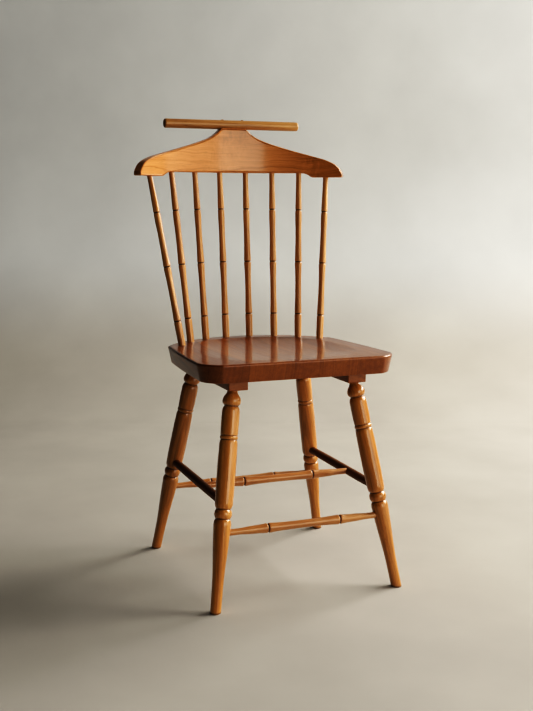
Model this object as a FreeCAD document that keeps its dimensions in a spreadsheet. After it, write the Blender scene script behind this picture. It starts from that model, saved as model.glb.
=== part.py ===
# Valet chair: spindle-back wooden chair whose crest rail is a coat hanger with a trouser bar on top.
# Millimetres. +X is the sitter's left-to-right as seen from the front, -Y is the front, +Z is up.
# Origin: on the floor, at the centre of the overall footprint.
import FreeCAD, Part
import math
import os
import Sketcher
from FreeCAD import Placement, Rotation, Vector

doc = FreeCAD.newDocument("valet_chair")
sheet = doc.addObject("Spreadsheet::Sheet", "dims")

SIZES = [
    # seat plank
    ("seat_height", 450.0), ("seat_thick", 34.5), ("seat_taper", -12.0), ("seat_ease", 3.5),
    ("seat_front_y", -190.0), ("seat_front_half", 160.5), ("seat_clip_x", 196.9), ("seat_clip_y", -147.0),
    ("seat_clip_radius", 60.0), ("seat_side_radius", 3000.0), ("seat_back_x", 181.8),
    ("seat_back_y", 91.5), ("seat_back_radius", 213.0),
    # spindle layout: both ends stand on arcs
    ("spindle_seat_y", 10.2), ("spindle_seat_radius", 171.5), ("spindle_seat_step", 17.85),
    ("crest_centre_y", -186.3), ("crest_radius", 396.0), ("spindle_crest_step", 8.4),
    ("spindle_seat_depth", 17.0), ("spindle_crest_depth", 14.0),
    ("spindle_foot_r", 7.2), ("spindle_node_r", 7.5), ("spindle_node_high_r", 6.8),
    ("spindle_groove_r", 6.2), ("spindle_groove_high_r", 5.6), ("spindle_tip_r", 5.5),
    ("spindle_ring_low", 48.5), ("spindle_ring_mid", 160.0), ("spindle_ring_high", 271.0),
    ("ring_half", 1.3), ("ring_shoulder", 3.2), ("spindle_waist_r", 6.2),
    # crest rail
    ("crest_thick", 19.0), ("crest_low_z", 787.0), ("crest_mid_z", 796.0), ("crest_top_z", 888.0),
    ("crest_half_length", 239.8), ("crest_blank_height", 110.0), ("crest_ease", 1.5),
    # trouser bar and its two pegs
    ("bar_radius", 9.4), ("bar_length", 298.0), ("bar_z", 895.2), ("bar_y", 209.2), ("bar_ease", 3.6),
    ("peg_radius", 3.2), ("peg_x", 22.0), ("peg_length", 42.0), ("peg_proud", 1.4), ("peg_dome", 5.0),
    # cleats and their screws
    ("cleat_width", 38.0), ("cleat_thick", 19.5), ("cleat_length", 285.0), ("cleat_x", 119.8),
    ("cleat_front_y", -156.0), ("cleat_ease", 2.0),
    ("screw_head_r", 4.0), ("screw_shank_r", 2.0), ("screw_length", 32.0), ("screw_head_h", 2.6),
    ("screw_tip_h", 4.0), ("screw_spacing", 68.0), ("screw_mid_y", -11.0),
    # leg positions: on the floor, and at the height of the top of the turning
    ("front_foot_x", 184.9), ("front_foot_y", -208.8), ("back_foot_x", 189.9), ("back_foot_y", 177.7),
    ("leg_ref_z", 393.2), ("front_top_x", 123.8), ("front_top_y", -134.8), ("back_top_x", 121.2),
    ("back_top_y", 110.9), ("leg_tenon_r", 9.6), ("leg_total", 446.0),
    # stretchers
    ("side_front_z", 193.0), ("side_back_z", 196.0), ("cross_z", 139.5), ("medial_z", 195.0),
    ("medial_y", -53.0), ("side_end_r", 8.0), ("side_mid_r", 8.5), ("side_socket", 17.0),
    ("cross_socket", 15.0), ("cross_end_r", 5.9), ("cross_node_r", 9.2), ("cross_groove_r", 7.3),
    ("cross_ring_x", 72.8), ("cross_ring_half", 1.7), ("cross_mid_r", 7.4), ("medial_end_r", 6.0),
    ("medial_socket", 6.5), ("leg_at_side_r", 16.8), ("leg_at_cross_r", 15.2),
    # clearance around every glued tenon and past its end, the length of the tools that bore the
    # stretcher sockets, where along a leg its socket's tool starts, and how far a spindle hole's
    # tool stands out of the wood
    ("glue_gap", 0.05), ("end_gap", 0.3), ("socket_tool", 60.0), ("leg_bore_from", 380.0),
    ("bore_over", 20.0),
    # block below the floor that trims the feet, and how far the hollow's cutter stands above the seat
    ("trim_wide", 500.0), ("trim_deep", 40.0), ("hollow_rim", 4.0),
]

# Leg turning from the floor up: (name, distance along the leg, radius, arc radius to the next station).
# A positive arc radius swells outwards, a negative one is hollow, zero is a straight taper.
LEG = [
    ("sole", -8.0, 10.0, 0), ("ankle", 39.0, 10.3, 0), ("shin_a", 60.0, 10.7, 0),
    ("shin_b", 80.0, 11.6, 0), ("shin_c", 100.0, 13.0, 0), ("calf_a", 120.0, 14.3, 0),
    ("calf_b", 140.0, 15.4, 0), ("calf_c", 158.0, 16.2, 20), ("knee_low", 167.0, 15.1, 6),
    ("groove_a", 170.2, 12.8, 0), ("bead_low", 171.6, 14.0, 13.5), ("bead_high", 187.0, 14.0, 0),
    ("groove_b", 188.4, 13.0, 0), ("knee_high", 190.2, 14.6, 22), ("barrel_a", 199.0, 16.6, 0),
    ("barrel_b", 215.0, 17.0, 0), ("barrel_c", 238.0, 17.25, 0), ("barrel_d", 268.0, 17.25, 0),
    ("barrel_e", 290.0, 17.1, 0), ("barrel_f", 305.0, 16.8, 30), ("barrel_lip", 313.0, 15.8, 0),
    ("groove_c", 314.8, 14.9, 0), ("ring_low", 316.0, 15.8, 5), ("ring_high", 321.6, 15.8, 0),
    ("crease", 322.3, 15.2, 0), ("upper_a", 324.0, 16.0, 0), ("upper_b", 336.0, 16.4, 0),
    ("upper_c", 352.0, 16.6, 0), ("upper_d", 366.0, 16.4, 20), ("upper_lip", 374.2, 14.4, 0),
    ("groove_d", 376.2, 12.5, 0), ("bulb_low", 378.4, 14.0, 9), ("bulb_high", 386.5, 17.0, 20),
    ("bulb_neck", 397.0, 12.4, -10),
]

# Crest outline as (distance along the curved rail from its middle, height), half of a mirrored shape.
SHOULDER = [
    (27.0, 888.0), (29.0, 886.0), (34.0, 881.0), (41.0, 875.3), (50.5, 869.2), (63.0, 863.6),
    (80.0, 857.6), (103.7, 850.6), (145.0, 839.2), (182.0, 829.7), (205.0, 822.8), (216.0, 818.2),
    (225.0, 813.0), (231.5, 807.0), (236.2, 800.5), (239.5, 794.0), (242.0, 787.5), (244.0, 781.0),
]
UNDERSIDE = [(152.0, 796.0), (158.0, 795.2), (164.0, 792.9), (169.0, 789.9), (174.0, 787.0)]

# Seat hollow as (y, depth below the seat plane, radius of the cross-section's arc).
HOLLOW = [
    (174.0, -2.6, 620.0), (160.0, -0.2, 650.0), (147.0, 2.8, 700.0), (123.0, 6.2, 820.0),
    (79.0, 8.4, 1060.0), (21.0, 8.8, 1250.0), (-39.0, 7.4, 1540.0), (-99.0, 4.8, 2150.0),
    (-140.0, 2.0, 3400.0), (-168.0, 0.2, 5200.0), (-188.0, -1.4, 6500.0),
]
SIDE_SWELL = [(0.33, 0.45), (0.22, 0.78), (0.08, 1.0)]
SPINDLE_WAIST = [(0.18, 0.45), (0.38, 0.1), (0.62, 0.05), (0.84, 0.45)]
SCREW = [
    ("0", "dims.screw_head_r", None, 0),
    ("0.4", "dims.screw_head_r", None, 0),
    ("dims.screw_head_h", "dims.screw_shank_r", None, 0),
    ("dims.screw_length - dims.screw_tip_h", "dims.screw_shank_r", None, 0),
    ("dims.screw_length", "0.3", None, 0),
]


def fill_sheet():
    rows = list(SIZES)
    for name, along, radius, arc in LEG:
        rows.append(("leg_s_" + name, along))
        rows.append(("leg_r_" + name, radius))
        if arc:
            rows.append(("leg_arc_" + name, abs(arc)))
    for index, (station, depth, radius) in enumerate(HOLLOW, start=1):
        rows.append(("hollow_y_%d" % index, station))
        rows.append(("hollow_depth_%d" % index, depth))
        rows.append(("hollow_arc_%d" % index, radius))
    for row, (alias, value) in enumerate(rows, start=1):
        sheet.set("A%d" % row, alias)
        sheet.set("B%d" % row, str(value))
        sheet.setAlias("B%d" % row, alias)
    doc.recompute()


def val(alias):
    return float(getattr(sheet, alias))


def num(expression):
    """Value of an expression made of aliases, numbers and + - * /."""
    total = sheet.evalExpression(expression.replace("dims.", ""))
    return float(getattr(total, "Value", total))


def bind(obj, prop, expression):
    obj.setExpression(prop, expression)


def new_body(name):
    body = doc.addObject("PartDesign::Body", name)
    body.Label = name
    return body


def new_sketch(body, role, name, offset=None):
    sketch = body.newObject("Sketcher::SketchObject", name)
    plane = [f for f in body.Origin.OriginFeatures if f.Role == role][0]
    sketch.AttachmentSupport = [(plane, "")]
    sketch.MapMode = "FlatFace"
    if offset is not None:
        sketch.AttachmentOffset = offset
    return sketch


def limit_distance(sketch, kind, geo, pos, expression):
    value = num(expression)
    if abs(value) < 1e-9:
        axis = -2 if kind == "DistanceX" else -1
        sketch.addConstraint(Sketcher.Constraint("PointOnObject", geo, pos, axis))
        return
    index = sketch.addConstraint(Sketcher.Constraint(kind, -1, 1, geo, pos, value))
    bind(sketch, "Constraints[%d]" % index, expression)


def draw_loop(sketch, stations):
    """Closed outline; each station is (x expression, y expression, arc radius expression, arc side)."""
    points = [Vector(num(s[0]), num(s[1]), 0) for s in stations]
    count = len(stations)
    ends = []
    for i, (_, _, arc, side) in enumerate(stations):
        a = points[i]
        b = points[(i + 1) % count]
        if not arc:
            geo = sketch.addGeometry(Part.LineSegment(a, b), False)
            ends.append((geo, 1, 2))
            continue
        chord = b.sub(a)
        radius = num(arc)
        sag = radius - math.sqrt(radius * radius - chord.Length ** 2 / 4)
        out = Vector(chord.y, -chord.x, 0).normalize().multiply(sag * side)
        middle = a.add(b).multiply(0.5).add(out)
        geo = sketch.addGeometry(Part.Arc(a, middle, b), False)
        flipped = sketch.getPoint(geo, 1).sub(a).Length > 1e-6
        ends.append((geo, 2, 1) if flipped else (geo, 1, 2))
    for i in range(count):
        here = ends[i]
        after = ends[(i + 1) % count]
        sketch.addConstraint(Sketcher.Constraint("Coincident", here[0], here[2], after[0], after[1]))
    for i, (x_expr, y_expr, arc, _) in enumerate(stations):
        geo, start, _ = ends[i]
        limit_distance(sketch, "DistanceX", geo, start, x_expr)
        limit_distance(sketch, "DistanceY", geo, start, y_expr)
        if arc:
            index = sketch.addConstraint(Sketcher.Constraint("Radius", geo, num(arc)))
            bind(sketch, "Constraints[%d]" % index, arc)


def turned_body(name, stations, placement):
    """Body of revolution about its own Z axis from (along, radius, arc, side) stations."""
    body = new_body(name)
    sketch = new_sketch(body, "XZ_Plane", name + "_profile")
    first = stations[0]
    last = stations[-1]
    outline = [("0", first[0], None, 0)]
    outline += [(radius, along, arc, side) for along, radius, arc, side in stations]
    outline.append(("0", last[0], None, 0))
    draw_loop(sketch, outline)
    turn = body.newObject("PartDesign::Revolution", name + "_turning")
    turn.Profile = sketch
    turn.ReferenceAxis = (sketch, ["V_Axis"])
    turn.Angle = 360.0
    sketch.Visibility = False
    body.Placement = placement
    return body


def along_z(origin, target):
    """Placement at origin whose Z axis points at target."""
    return Placement(origin, Rotation(Vector(0, 0, 1), target.sub(origin)))


def rod(name, placement, radius, height):
    cylinder = doc.addObject("Part::Cylinder", name)
    bind(cylinder, "Radius", radius)
    bind(cylinder, "Height", height)
    cylinder.Placement = placement
    return cylinder


def cut(name, base, tools):
    """Finished part: the blank with every socket tool removed."""
    tool = tools[0]
    if len(tools) > 1:
        tool = doc.addObject("Part::MultiFuse", name + "_sockets")
        tool.Shapes = tools
    result = doc.addObject("Part::Cut", name)
    result.Base = base
    result.Tool = tool
    result.Label = name
    return result


def shifted(placement, distance):
    """The same placement moved along its own Z axis."""
    return placement.multiply(Placement(Vector(0, 0, distance), Rotation()))


fill_sheet()
SIDES = [("left", -1), ("right", 1)]
finished = []

# ---------------------------------------------------------------- legs
LEG_AXES = {}
for row in ("front", "back"):
    for side, sign in SIDES:
        foot = Vector(sign * val(row + "_foot_x"), val(row + "_foot_y"), 0)
        top = Vector(sign * val(row + "_top_x"), val(row + "_top_y"), val("leg_ref_z"))
        LEG_AXES[(row, side)] = along_z(foot, top)


def leg_point(row, side, height):
    axis = LEG_AXES[(row, side)]
    direction = axis.Rotation.multVec(Vector(0, 0, 1))
    return axis.Base.add(direction.multiply(height / direction.z))


def leg_stations():
    rows = []
    for name, _, _, arc in LEG:
        expression = "dims.leg_arc_" + name if arc else None
        rows.append(("dims.leg_s_" + name, "dims.leg_r_" + name, expression, 1 if arc > 0 else -1))
    rows.append(("dims.leg_s_bulb_neck + 7", "dims.leg_tenon_r", None, 0))
    rows.append(("dims.leg_total", "dims.leg_tenon_r", None, 0))
    return rows


# ---------------------------------------------------------------- stretchers
def stretcher_stations(length, end_r):
    """Bamboo-turned rail, both halves alike, with two grooved rings."""
    half = [
        ("%s / 2" % length, end_r, None, 0),
        ("%s / 2 - 22" % length, end_r, None, 0),
        ("%s / 4 + dims.cross_ring_x / 2 - 4" % length, "(%s + dims.cross_mid_r) / 2 + 0.6" % end_r, None, 0),
        ("dims.cross_ring_x + 14", "dims.cross_mid_r + 0.7", None, 0),
        ("dims.cross_ring_x + dims.ring_shoulder", "dims.cross_node_r - 0.1", None, 0),
        ("dims.cross_ring_x + dims.cross_ring_half", "dims.cross_node_r - 0.5", None, 0),
        ("dims.cross_ring_x", "dims.cross_groove_r", None, 0),
        ("dims.cross_ring_x - dims.cross_ring_half", "dims.cross_node_r - 0.3", None, 0),
        ("dims.cross_ring_x - dims.ring_shoulder", "dims.cross_node_r", None, 0),
        ("0.72 * dims.cross_ring_x", "dims.cross_mid_r + 0.8", None, 0),
        ("0.45 * dims.cross_ring_x", "dims.cross_mid_r + 0.2", None, 0),
        ("0.15 * dims.cross_ring_x", "dims.cross_mid_r", None, 0),
    ]
    rows = [("-1 * (%s)" % s, r, a, k) for s, r, a, k in half]
    rows += list(reversed(half))
    return rows


def side_stations(length):
    half = [
        ("%s / 2" % length, "dims.side_end_r", None, 0),
        ("%s / 2 - 26" % length, "dims.side_end_r", None, 0),
    ]
    for share, swell in SIDE_SWELL:
        radius = "dims.side_end_r + %.2f * (dims.side_mid_r - dims.side_end_r)" % swell
        half.append(("%.2f * %s" % (share, length), radius, None, 0))
    rows = [("-1 * (%s)" % s, r, a, k) for s, r, a, k in half]
    return rows + list(reversed(half))


def between(a, b):
    """Placement at the middle of a-b with Z along a-b, and the distance between them."""
    middle = a.add(b).multiply(0.5)
    return along_z(middle, b), b.sub(a).Length


leg_tools = {key: [] for key in LEG_AXES}
side_blank = {}
for side, sign in SIDES:
    front = leg_point("front", side, val("side_front_z"))
    back = leg_point("back", side, val("side_back_z"))
    place, span = between(front, back)
    length = "(%.4f - 2 * dims.leg_at_side_r + 2 * dims.side_socket)" % span
    blank = turned_body("side_stretcher_%s_blank" % side, side_stations(length), place)
    side_blank[side] = (blank, place)
    reach = num(length) / 2
    for row, start in (("front", -reach), ("back", reach - val("socket_tool"))):
        hole = rod("side_socket_%s_%s" % (row, side), shifted(place, start),
                   "dims.side_end_r + dims.glue_gap", "dims.socket_tool")
        leg_tools[(row, side)].append(hole)

for row in ("front", "back"):
    left = leg_point(row, "left", val("cross_z"))
    right = leg_point(row, "right", val("cross_z"))
    place, span = between(left, right)
    length = "(%.4f - 2 * dims.leg_at_cross_r + 2 * dims.cross_socket)" % span
    label = "front_stretcher" if row == "front" else "rear_stretcher"
    rail = turned_body(label, stretcher_stations(length, "dims.cross_end_r"), place)
    finished.append(rail)
    reach = num(length) / 2
    for side, sign in SIDES:
        start = shifted(place, -reach if sign < 0 else reach - val("socket_tool"))
        hole = rod("cross_socket_%s_%s" % (row, side), start,
                   "dims.cross_end_r + dims.glue_gap", "dims.socket_tool")
        leg_tools[(row, side)].append(hole)

# medial stretcher between the two side stretchers
left_side = side_blank["left"][1].Base
right_side = side_blank["right"][1].Base
place, span = between(Vector(left_side.x, val("medial_y"), val("medial_z")),
                      Vector(right_side.x, val("medial_y"), val("medial_z")))
medial_length = "(%.4f - 2 * dims.side_mid_r + 2 * dims.medial_socket)" % span
medial = turned_body("medial_stretcher", stretcher_stations(medial_length, "dims.medial_end_r"), place)
finished.append(medial)
reach = num(medial_length) / 2
for side, sign in SIDES:
    start = shifted(place, -reach if sign < 0 else reach - val("socket_tool"))
    hole = rod("medial_socket_" + side, start, "dims.medial_end_r + dims.glue_gap", "dims.socket_tool")
    finished.append(cut("side_stretcher_" + side, side_blank[side][0], [hole]))

floor_block = doc.addObject("Part::Box", "floor_block")
bind(floor_block, "Length", "dims.trim_wide")
bind(floor_block, "Width", "dims.trim_wide")
bind(floor_block, "Height", "dims.trim_deep")
floor_block.Placement.Base = Vector(-val("trim_wide") / 2, -val("trim_wide") / 2, -val("trim_deep"))
for (row, side), axis in LEG_AXES.items():
    label = "leg_%s_%s" % (row, side)
    blank = turned_body(label + "_blank", leg_stations(), axis)
    finished.append(cut(label, blank, [floor_block] + leg_tools[(row, side)]))

# ---------------------------------------------------------------- seat
seat_body = new_body("seat_blank")
seat_plan = new_sketch(seat_body, "XY_Plane", "seat_plan", Placement(Vector(0, 0, 0), Rotation()))
draw_loop(seat_plan, [
    ("-1 * dims.seat_front_half", "dims.seat_front_y", None, 0),
    ("dims.seat_front_half", "dims.seat_front_y", "dims.seat_clip_radius", 1),
    ("dims.seat_clip_x", "dims.seat_clip_y", "dims.seat_side_radius", 1),
    ("dims.seat_back_x", "dims.seat_back_y", "dims.seat_back_radius", 1),
    ("-1 * dims.seat_back_x", "dims.seat_back_y", "dims.seat_side_radius", 1),
    ("-1 * dims.seat_clip_x", "dims.seat_clip_y", "dims.seat_clip_radius", 1),
])
seat_pad = seat_body.newObject("PartDesign::Pad", "seat_pad")
seat_pad.Profile = seat_plan
bind(seat_pad, "Length", "dims.seat_thick")
seat_pad.Reversed = True
bind(seat_pad, "TaperAngle", "dims.seat_taper")
bind(seat_body, "Placement.Base.z", "dims.seat_height")
doc.recompute()

ease = seat_body.newObject("PartDesign::Fillet", "seat_top_ease")
top_edges = []
for index, edge in enumerate(seat_pad.Shape.Edges, start=1):
    if all(abs(v.Z) < 1e-6 for v in edge.Vertexes):
        top_edges.append("Edge%d" % index)
ease.Base = (seat_pad, top_edges)
bind(ease, "Radius", "dims.seat_ease")

hollow_body = new_body("seat_hollow")
hollow_sketches = []
for index in range(1, len(HOLLOW) + 1):
    # the XZ plane faces -Y, so a station further back is a negative offset
    sketch = new_sketch(hollow_body, "XZ_Plane", "hollow_%d" % index,
                        Placement(Vector(0, 0, -val("hollow_y_%d" % index)), Rotation()))
    arc = "dims.hollow_arc_%d" % index
    rise = "(dims.hollow_depth_%d + dims.hollow_rim)" % index
    wide = "sqrt(2 * %s * %s - %s ^ 2)" % (arc, rise, rise)
    draw_loop(sketch, [
        ("-1 * " + wide, "dims.hollow_rim", arc, 1),
        (wide, "dims.hollow_rim", None, 0),
    ])
    hollow_sketches.append(sketch)
hollow = hollow_body.newObject("PartDesign::AdditiveLoft", "hollow_loft")
hollow.Profile = hollow_sketches[0]
hollow.Sections = hollow_sketches[1:]
bind(hollow_body, "Placement.Base.z", "dims.seat_height")

seat_tools = [hollow_body]

# ---------------------------------------------------------------- cleats
under_seat = val("seat_height") - val("seat_thick")
cleat_low = under_seat - val("cleat_thick")
cleat_body = {}
for side, sign in SIDES:
    body = new_body("cleat_%s_blank" % side)
    sketch = new_sketch(body, "XY_Plane", "cleat_%s_plan" % side)
    draw_loop(sketch, [
        ("-1 * dims.cleat_width / 2", "0", None, 0),
        ("dims.cleat_width / 2", "0", None, 0),
        ("dims.cleat_width / 2", "dims.cleat_length", None, 0),
        ("-1 * dims.cleat_width / 2", "dims.cleat_length", None, 0),
    ])
    pad = body.newObject("PartDesign::Pad", "cleat_%s_pad" % side)
    pad.Profile = sketch
    bind(pad, "Length", "dims.cleat_thick")
    doc.recompute()
    edges = []
    for index, edge in enumerate(pad.Shape.Edges, start=1):
        if min(v.Z for v in edge.Vertexes) < 1e-6:
            edges.append("Edge%d" % index)
    round_over = body.newObject("PartDesign::Fillet", "cleat_%s_ease" % side)
    round_over.Base = (pad, edges)
    bind(round_over, "Radius", "dims.cleat_ease")
    body.Placement.Base = Vector(sign * val("cleat_x"), val("cleat_front_y"), cleat_low)
    cleat_body[side] = body

cleat_tools = {"left": [], "right": []}
for (row, side), axis in LEG_AXES.items():
    hole = rod("leg_socket_%s_%s" % (row, side), shifted(axis, val("leg_bore_from")),
               "dims.leg_tenon_r + dims.glue_gap", "dims.leg_total - dims.leg_bore_from + dims.end_gap")
    cleat_tools[side].append(hole)
    seat_tools.append(hole)

# countersunk screws up through the cleats
screw_bodies = []
for side, sign in SIDES:
    for step in (-1, 0, 1):
        spot = Vector(sign * val("cleat_x"), val("screw_mid_y") + step * val("screw_spacing"), cleat_low)
        screw = turned_body("screw_%s_%d" % (side, step + 2), SCREW, Placement(spot, Rotation()))
        screw_bodies.append(screw)
        cleat_tools[side].append(screw)
        seat_tools.append(screw)
screws = doc.addObject("Part::Compound", "cleat_screws")
screws.Links = screw_bodies
finished.append(screws)
for side, _ in SIDES:
    finished.append(cut("cleat_" + side, cleat_body[side], cleat_tools[side]))

# ---------------------------------------------------------------- spindles
crest_tools = []


def arc_spot(centre_y, radius, angle, height):
    turn = math.radians(angle)
    return Vector(radius * math.sin(turn), centre_y + radius * math.cos(turn), height)


def spindle_stations(length):
    rows = [("-1 * dims.spindle_seat_depth", "dims.spindle_foot_r", None, 0)]
    rows.append(("2", "dims.spindle_foot_r", None, 0))
    rings = [("low", "spindle_node_r", "spindle_groove_r"), ("mid", "spindle_node_r", "spindle_groove_r"),
             ("high", "spindle_node_high_r", "spindle_groove_high_r")]
    for which, node, groove in rings:
        spot = "dims.spindle_ring_" + which
        rows.append((spot + " - dims.ring_shoulder", "dims.%s" % node, None, 0))
        rows.append((spot + " - dims.ring_half", "dims.%s - 0.3" % node, None, 0))
        rows.append((spot, "dims.%s" % groove, None, 0))
        rows.append((spot + " + dims.ring_half", "dims.%s - 0.4" % node, None, 0))
        rows.append((spot + " + dims.ring_shoulder", "dims.%s - 0.1" % node, None, 0))
        if which == "high":
            continue
        above = "mid" if which == "low" else "high"
        reach = "(dims.spindle_ring_%s - %s)" % (above, spot)
        for share, swell in SPINDLE_WAIST:
            radius = "dims.spindle_waist_r + %.2f * (dims.%s - dims.spindle_waist_r)" % (swell, node)
            rows.append(("%s + %.2f * %s" % (spot, share, reach), radius, None, 0))
    rows.append(("%.4f - 6" % length, "dims.spindle_tip_r", None, 0))
    rows.append(("%.4f + dims.spindle_crest_depth" % length, "dims.spindle_tip_r", None, 0))
    return rows


for index in range(8):
    place_in_row = index - 3.5
    low = arc_spot(val("spindle_seat_y"), val("spindle_seat_radius"),
                   place_in_row * val("spindle_seat_step"), val("seat_height"))
    rail_z = val("crest_low_z") if index in (0, 7) else val("crest_mid_z")
    high = arc_spot(val("crest_centre_y"), val("crest_radius"),
                    place_in_row * val("spindle_crest_step"), rail_z)
    axis = along_z(low, high)
    span = high.sub(low).Length
    name = "spindle_%d" % (index + 1)
    finished.append(turned_body(name, spindle_stations(span), axis))
    foot_hole = rod(name + "_seat_hole", shifted(axis, -val("spindle_seat_depth") - val("end_gap")),
                    "dims.spindle_foot_r + dims.glue_gap", "dims.spindle_seat_depth + dims.bore_over")
    seat_tools.append(foot_hole)
    head_hole = rod(name + "_crest_hole", shifted(axis, span - val("bore_over")),
                    "dims.spindle_tip_r + dims.glue_gap",
                    "dims.spindle_crest_depth + dims.bore_over + dims.end_gap")
    crest_tools.append(head_hole)

finished.append(cut("seat", seat_body, seat_tools))

# ---------------------------------------------------------------- trouser bar and pegs
bar_end = Vector(-val("bar_length") / 2, val("bar_y"), val("bar_z"))
bar_axis = along_z(bar_end, Vector(0, val("bar_y"), val("bar_z")))
bar_blank = turned_body("trouser_bar_blank", [
    ("0", "dims.bar_radius - dims.bar_ease", "dims.bar_ease", 1),
    ("dims.bar_ease", "dims.bar_radius", None, 0),
    ("dims.bar_length - dims.bar_ease", "dims.bar_radius", "dims.bar_ease", 1),
    ("dims.bar_length", "dims.bar_radius - dims.bar_ease", None, 0),
], bar_axis)
peg_low = val("bar_z") + val("bar_radius") + val("peg_proud") - val("peg_length")
peg_bodies = []
peg_holes = []
for side, sign in SIDES:
    spot = Placement(Vector(sign * val("peg_x"), val("bar_y"), peg_low), Rotation())
    peg = turned_body("peg_" + side, [
        ("0", "dims.peg_radius - 0.6", None, 0),
        ("1", "dims.peg_radius", None, 0),
        ("dims.peg_length - dims.peg_proud", "dims.peg_radius", "dims.peg_dome", 1),
        ("dims.peg_length", "0.4", None, 0),
    ], spot)
    peg_bodies.append(peg)
    peg_holes.append(rod("peg_hole_" + side, shifted(spot, -val("end_gap")),
                         "dims.peg_radius + dims.glue_gap", "dims.peg_length + 10"))
pegs = doc.addObject("Part::Compound", "bar_pegs")
pegs.Links = peg_bodies
finished.append(pegs)
finished.append(cut("trouser_bar", bar_blank, peg_holes))
bar_seat = rod("bar_saddle", bar_axis, "dims.bar_radius + dims.glue_gap", "dims.bar_length")
crest_tools += [bar_seat] + peg_holes

# ---------------------------------------------------------------- crest rail
crest_body = new_body("crest_blank")
crest_plan = new_sketch(crest_body, "XY_Plane", "crest_plan")
for row, (alias, sign) in enumerate((("crest_inner_r", "-"), ("crest_outer_r", "+")), start=1):
    sheet.set("D%d" % row, "=crest_radius %s crest_thick / 2" % sign)
    sheet.setAlias("D%d" % row, alias)
doc.recompute()
swing = val("crest_half_length") / val("crest_radius")
sine = "%.8f" % math.sin(swing)
cosine = "%.8f" % math.cos(swing)
draw_loop(crest_plan, [
    ("dims.crest_inner_r * " + sine, "dims.crest_inner_r * " + cosine, "dims.crest_inner_r", 1),
    ("-1 * dims.crest_inner_r * " + sine, "dims.crest_inner_r * " + cosine, None, 0),
    ("-1 * dims.crest_outer_r * " + sine, "dims.crest_outer_r * " + cosine, "dims.crest_outer_r", -1),
    ("dims.crest_outer_r * " + sine, "dims.crest_outer_r * " + cosine, None, 0),
])
crest_pad = crest_body.newObject("PartDesign::Pad", "crest_pad")
crest_pad.Profile = crest_plan
bind(crest_pad, "Length", "dims.crest_blank_height")
crest_body.Placement.Base = Vector(0, val("crest_centre_y"), val("crest_low_z") - 4)


def rail_edge(name, outline, radius):
    """Smooth edge through outline points wrapped round the rail at the given radius."""
    spots = []
    for along, height in outline:
        turn = math.degrees(along / val("crest_radius"))
        spots.append(arc_spot(val("crest_centre_y"), radius, turn, height))
    curve = Part.BSplineCurve()
    curve.interpolate(spots)
    edge = doc.addObject("Part::Feature", name)
    edge.Shape = curve.toShape()
    return edge


def rail_cutter(name, outline, lift):
    """Waste beyond an outline: a surface square to the rail's faces, swept up or down."""
    near = rail_edge(name + "_near", outline, val("crest_inner_r") - 4)
    far = rail_edge(name + "_far", outline, val("crest_outer_r") + 4)
    surface = doc.addObject("Part::RuledSurface", name + "_surface")
    surface.Curve1 = (near, ["Edge1"])
    surface.Curve2 = (far, ["Edge1"])
    waste = doc.addObject("Part::Extrusion", name + "_waste")
    waste.Base = surface
    waste.DirMode = "Custom"
    waste.Dir = Vector(0, 0, 1)
    waste.LengthFwd = abs(lift)
    waste.LengthRev = 0
    waste.Reversed = lift < 0
    waste.Solid = True
    return waste


neck = [(along * SHOULDER[0][0] / 4, SHOULDER[0][1]) for along in range(-4, 5)]
flat = [(along * UNDERSIDE[0][0] / 8, UNDERSIDE[0][1]) for along in range(-8, 9)]
crest_waste = [
    rail_cutter("neck", neck, 60),
    rail_cutter("shoulder_right", SHOULDER, 160),
    rail_cutter("shoulder_left", [(-s, z) for s, z in reversed(SHOULDER)], 160),
    rail_cutter("underside_mid", flat, -60),
    rail_cutter("underside_right", UNDERSIDE, -60),
    rail_cutter("underside_left", [(-s, z) for s, z in reversed(UNDERSIDE)], -60),
]
lobe = []
for step in range(9):
    lobe.append((UNDERSIDE[-1][0] + step * 9.0, UNDERSIDE[-1][1]))
crest_waste.append(rail_cutter("lobe_right", lobe, -60))
crest_waste.append(rail_cutter("lobe_left", [(-s, z) for s, z in reversed(lobe)], -60))
sawn = crest_body
for index, waste in enumerate(crest_waste, start=1):
    step = doc.addObject("Part::Cut", "crest_sawn_%d" % index)
    step.Base = sawn
    step.Tool = waste
    sawn = step
doc.recompute()


def on_face(edge, radius):
    """True when an edge runs along the rail's curved face of this radius."""
    first, last = edge.ParameterRange
    for share in (0.0, 0.3, 0.7, 1.0):
        spot = edge.valueAt(first + share * (last - first))
        if abs(math.hypot(spot.x, spot.y - val("crest_centre_y")) - radius) > 0.02:
            return False
    return True


crest_round = doc.addObject("Part::Fillet", "crest_round")
crest_round.Base = sawn
rounding = []
for index, edge in enumerate(sawn.Shape.Edges, start=1):
    if on_face(edge, val("crest_inner_r")) or on_face(edge, val("crest_outer_r")):
        rounding.append((index, val("crest_ease"), val("crest_ease")))
crest_round.Edges = rounding
finished.append(cut("crest_rail", crest_round, crest_tools))
doc.recompute()

# ---------------------------------------------------------------- export
for item in doc.Objects:
    if any(state in ("Invalid", "Error") for state in item.State):
        raise RuntimeError("%s did not compute" % item.Label)
for item in finished:
    if item.Shape.isNull() or not item.Shape.isValid():
        raise RuntimeError("%s has no valid shape" % item.Label)
os.makedirs("parts", exist_ok=True)
for item in finished:
    item.Shape.exportStep("parts/%s.step" % item.Label)
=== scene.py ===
"""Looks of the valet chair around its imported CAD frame. Tables are in mm, meshes in metres."""

import math
import random

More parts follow.
